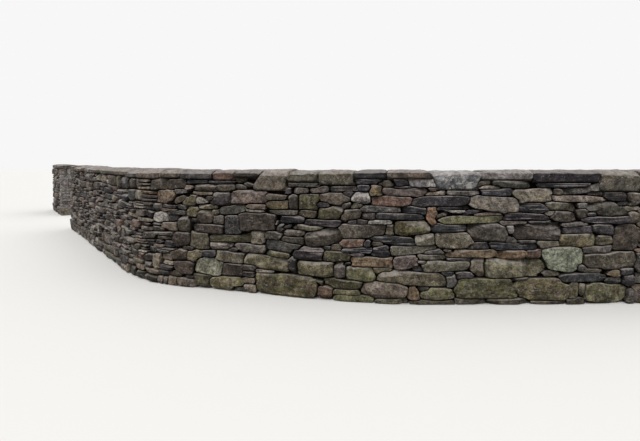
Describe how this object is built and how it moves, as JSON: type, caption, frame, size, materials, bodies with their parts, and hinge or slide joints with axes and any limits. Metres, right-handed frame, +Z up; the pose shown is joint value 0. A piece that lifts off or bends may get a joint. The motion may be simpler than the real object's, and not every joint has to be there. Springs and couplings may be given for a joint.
{
  "type": "dry stone wall",
  "caption": "Battered dry stone retaining wall laid in bays on a bending line, with hearting, footings, coping stones, toothed wall ends and a wide opening near its far end.",
  "frame": {"origin": "on the ground under the middle of the straight right bay, halfway through the wall's foot", "axes": "+X along the right bay towards the wall's right end, +Y into the wall from its front face, +Z up"},
  "size_m": [13.0999, 11.6412, 1.485],
  "materials": {
    "foundation_stone": "rough, mossy",
    "face_stone": "rough split faces with lichen",
    "hearting_rubble": "dark rubble",
    "back_stone": "rough split faces",
    "coping_stone": "weathered, lichened tops",
    "quoin_stone": "rough squared faces"
  },
  "bodies": {
    "root": {"right_bay_footing": "foundation_stone", "right_bay_front_face": "face_stone", "right_bay_hearting": "hearting_rubble", "right_bay_back_face": "back_stone", "right_bay_coping": "coping_stone", "bend_bay_footing": "foundation_stone", "bend_bay_front_face": "face_stone", "bend_bay_hearting": "hearting_rubble", "bend_bay_back_face": "back_stone", "bend_bay_coping": "coping_stone", "middle_bay_footing": "foundation_stone", "middle_bay_front_face": "face_stone", "middle_bay_hearting": "hearting_rubble", "middle_bay_back_face": "back_stone", "middle_bay_coping": "coping_stone", "corner_bay_footing": "foundation_stone", "corner_bay_front_face": "face_stone", "corner_bay_hearting": "hearting_rubble", "corner_bay_back_face": "back_stone", "corner_bay_coping": "coping_stone", "left_bay_footing": "foundation_stone", "left_bay_front_face": "face_stone", "left_bay_hearting": "hearting_rubble", "left_bay_back_face": "back_stone", "left_bay_coping": "coping_stone", "gate_bay_footing": "foundation_stone", "gate_bay_front_face": "face_stone", "gate_bay_hearting": "hearting_rubble", "gate_bay_back_face": "back_stone", "gate_bay_coping": "coping_stone", "outer_bay_footing": "foundation_stone", "outer_bay_front_face": "face_stone", "outer_bay_hearting": "hearting_rubble", "outer_bay_back_face": "back_stone", "outer_bay_coping": "coping_stone", "right_end_quoins": "quoin_stone", "opening_near_quoins": "quoin_stone", "opening_far_quoins": "quoin_stone", "outer_end_quoins": "quoin_stone"}
  },
  "joints": []
}
